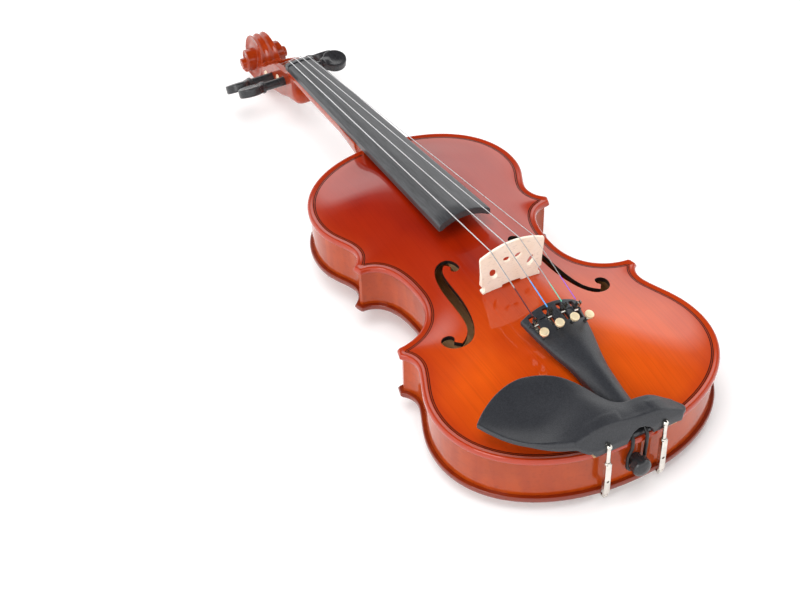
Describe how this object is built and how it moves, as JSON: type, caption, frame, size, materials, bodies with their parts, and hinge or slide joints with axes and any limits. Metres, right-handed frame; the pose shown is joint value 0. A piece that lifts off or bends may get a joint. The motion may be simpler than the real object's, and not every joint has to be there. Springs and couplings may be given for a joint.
{
  "type": "violin",
  "caption": "Full-size violin with arched plates, ribs, neck with scroll, strings, fine tuners and a clamped chin rest.",
  "frame": {"origin": "centre of the bounding box at the plane the violin lies on, back down", "axes": "+X to the treble side, +Y from the end button towards the scroll, +Z out of the top plate"},
  "size_m": [0.208, 0.6022, 0.1021],
  "materials": {
    "top_wood": "gloss lacquer",
    "back_wood": "gloss lacquer",
    "rib_wood": "gloss lacquer",
    "neck_wood": "gloss lacquer",
    "bare_spruce": "bare",
    "purfling": "lacquered inlay",
    "black_wood": "satin black",
    "black_plastic": "fine grained",
    "nickel": "bright nickel plate",
    "brass": "knurled rim",
    "bridge_maple": "bare",
    "cork": "cork",
    "peg_wood": "satin black",
    "string_metal": "wound"
  },
  "bodies": {
    "violin": {"top_plate": "top_wood", "back_plate": "back_wood", "rib_lower_bass": "rib_wood", "rib_lower_treble": "rib_wood", "rib_centre_bass": "rib_wood", "rib_centre_treble": "rib_wood", "rib_upper_bass": "rib_wood", "rib_upper_treble": "rib_wood", "neck_block": "bare_spruce", "end_block": "bare_spruce", "corner_blocks": "bare_spruce", "linings_top": "bare_spruce", "linings_back": "bare_spruce", "bass_bar": "bare_spruce", "sound_post": "bare_spruce", "purfling_top": "purfling", "purfling_back": "purfling", "saddle": "black_wood", "end_button": "black_plastic", "tail_gut": "black_plastic", "tailpiece": "black_plastic", "tuner_pins": "nickel", "bridge": "bridge_maple", "nut": "black_wood", "fingerboard": "black_wood", "neck": "neck_wood", "chin_rest": "black_plastic", "chin_rest_cork": "cork", "clamp_posts": "nickel", "string_g": "string_metal", "string_d": "string_metal", "string_a": "string_metal", "string_e": "string_metal"},
    "peg_g": {"peg_g": "peg_wood", "string_coil_g": "string_metal"},
    "tuner_stem_g": {"tuner_stem_g": "nickel"},
    "tuner_knob_g": {"tuner_knob_g": "brass"},
    "tuner_lever_g": {"tuner_lever_g": "nickel"},
    "peg_d": {"peg_d": "peg_wood", "string_coil_d": "string_metal"},
    "tuner_stem_d": {"tuner_stem_d": "nickel"},
    "tuner_knob_d": {"tuner_knob_d": "brass"},
    "tuner_lever_d": {"tuner_lever_d": "nickel"},
    "peg_a": {"peg_a": "peg_wood", "string_coil_a": "string_metal"},
    "tuner_stem_a": {"tuner_stem_a": "nickel"},
    "tuner_knob_a": {"tuner_knob_a": "brass"},
    "tuner_lever_a": {"tuner_lever_a": "nickel"},
    "peg_e": {"peg_e": "peg_wood", "string_coil_e": "string_metal"},
    "tuner_stem_e": {"tuner_stem_e": "nickel"},
    "tuner_knob_e": {"tuner_knob_e": "brass"},
    "tuner_lever_e": {"tuner_lever_e": "nickel"},
    "clamp_barrel_left": {"clamp_barrel_left": "nickel"},
    "clamp_barrel_right": {"clamp_barrel_right": "nickel"},
    "clamp_foot": {"clamp_foot": "nickel", "clamp_foot_cork": "cork"}
  },
  "joints": [
    {"name": "peg_g_turn", "type": "hinge", "parent": "violin", "child": "peg_g", "pos_m": [0, 0.20808, 0.0437], "axis": [-1, 0, 0], "continuous": true},
    {"name": "tuner_g_screw", "type": "slide", "parent": "violin", "child": "tuner_stem_g", "axis": [-0.2079, -0.3379, 0.9179], "range_m": [-0.00099, 0.0003]},
    {"name": "tuner_g_knob", "type": "hinge", "parent": "tuner_stem_g", "child": "tuner_knob_g", "pos_m": [-0.01716, -0.20611, 0.07963], "axis": [-0.2079, -0.3379, 0.9179], "range_deg": [-719, 240]},
    {"name": "tuner_g_lever", "type": "hinge", "parent": "violin", "child": "tuner_lever_g", "pos_m": [-0.01529, -0.19218, 0.07537], "axis": [0.9781, -0.0718, 0.1951], "range_deg": [-5.2, 5.2]},
    {"name": "peg_d_turn", "type": "hinge", "parent": "violin", "child": "peg_d", "pos_m": [0, 0.23662, 0.03186], "axis": [-1, 0, 0], "continuous": true},
    {"name": "tuner_d_screw", "type": "slide", "parent": "violin", "child": "tuner_stem_d", "axis": [-0.0693, -0.3446, 0.9362], "range_m": [-0.00099, 0.0003]},
    {"name": "tuner_d_knob", "type": "hinge", "parent": "tuner_stem_d", "child": "tuner_knob_d", "pos_m": [-0.00569, -0.20626, 0.08281], "axis": [-0.0693, -0.3446, 0.9362], "range_deg": [-719, 240]},
    {"name": "tuner_d_lever", "type": "hinge", "parent": "violin", "child": "tuner_lever_d", "pos_m": [-0.00506, -0.19228, 0.07839], "axis": [0.9976, -0.0239, 0.0651], "range_deg": [-5.2, 5.2]},
    {"name": "peg_a_turn", "type": "hinge", "parent": "violin", "child": "peg_a", "pos_m": [0, 0.25089, 0.02594], "axis": [1, 0, 0], "continuous": true},
    {"name": "tuner_a_screw", "type": "slide", "parent": "violin", "child": "tuner_stem_a", "axis": [0.0693, -0.3446, 0.9362], "range_m": [-0.00099, 0.0003]},
    {"name": "tuner_a_knob", "type": "hinge", "parent": "tuner_stem_a", "child": "tuner_knob_a", "pos_m": [0.00569, -0.20626, 0.08281], "axis": [0.0693, -0.3446, 0.9362], "range_deg": [-719, 240]},
    {"name": "tuner_a_lever", "type": "hinge", "parent": "violin", "child": "tuner_lever_a", "pos_m": [0.00506, -0.19228, 0.07839], "axis": [0.9976, 0.0239, -0.0651], "range_deg": [-5.2, 5.2]},
    {"name": "peg_e_turn", "type": "hinge", "parent": "violin", "child": "peg_e", "pos_m": [0, 0.22235, 0.03778], "axis": [1, 0, 0], "continuous": true},
    {"name": "tuner_e_screw", "type": "slide", "parent": "violin", "child": "tuner_stem_e", "axis": [0.2079, -0.3379, 0.9179], "range_m": [-0.00099, 0.0003]},
    {"name": "tuner_e_knob", "type": "hinge", "parent": "tuner_stem_e", "child": "tuner_knob_e", "pos_m": [0.01716, -0.20611, 0.07963], "axis": [0.2079, -0.3379, 0.9179], "range_deg": [-719, 240]},
    {"name": "tuner_e_lever", "type": "hinge", "parent": "violin", "child": "tuner_lever_e", "pos_m": [0.01529, -0.19218, 0.07537], "axis": [0.9781, 0.0718, -0.1951], "range_deg": [-5.2, 5.2]},
    {"name": "clamp_barrel_left_turn", "type": "hinge", "parent": "violin", "child": "clamp_barrel_left", "pos_m": [-0.0252, -0.29422, 0.02632], "axis": [0, -0.0386, 0.9993], "range_deg": [0, 2160]},
    {"name": "clamp_barrel_right_turn", "type": "hinge", "parent": "violin", "child": "clamp_barrel_right", "pos_m": [0.0172, -0.29422, 0.02632], "axis": [0, -0.0386, 0.9993], "range_deg": [0, 2160]},
    {"name": "clamp_foot_slide", "type": "slide", "parent": "violin", "child": "clamp_foot", "axis": [0, 0.0386, -0.9993], "range_m": [0, 0.0047]}
  ],
  "couplings": [
    {"joint": "tuner_g_knob", "follows": "tuner_g_screw", "rad_per_m": 12566},
    {"joint": "tuner_g_lever", "follows": "tuner_g_screw", "rad_per_m": -86.207},
    {"joint": "tuner_d_knob", "follows": "tuner_d_screw", "rad_per_m": 12566},
    {"joint": "tuner_d_lever", "follows": "tuner_d_screw", "rad_per_m": -86.207},
    {"joint": "tuner_a_knob", "follows": "tuner_a_screw", "rad_per_m": 12566},
    {"joint": "tuner_a_lever", "follows": "tuner_a_screw", "rad_per_m": -86.207},
    {"joint": "tuner_e_knob", "follows": "tuner_e_screw", "rad_per_m": 12566},
    {"joint": "tuner_e_lever", "follows": "tuner_e_screw", "rad_per_m": -86.207},
    {"joint": "clamp_barrel_left_turn", "follows": "clamp_foot_slide", "rad_per_m": 7854},
    {"joint": "clamp_barrel_right_turn", "follows": "clamp_foot_slide", "rad_per_m": 7854}
  ]
}
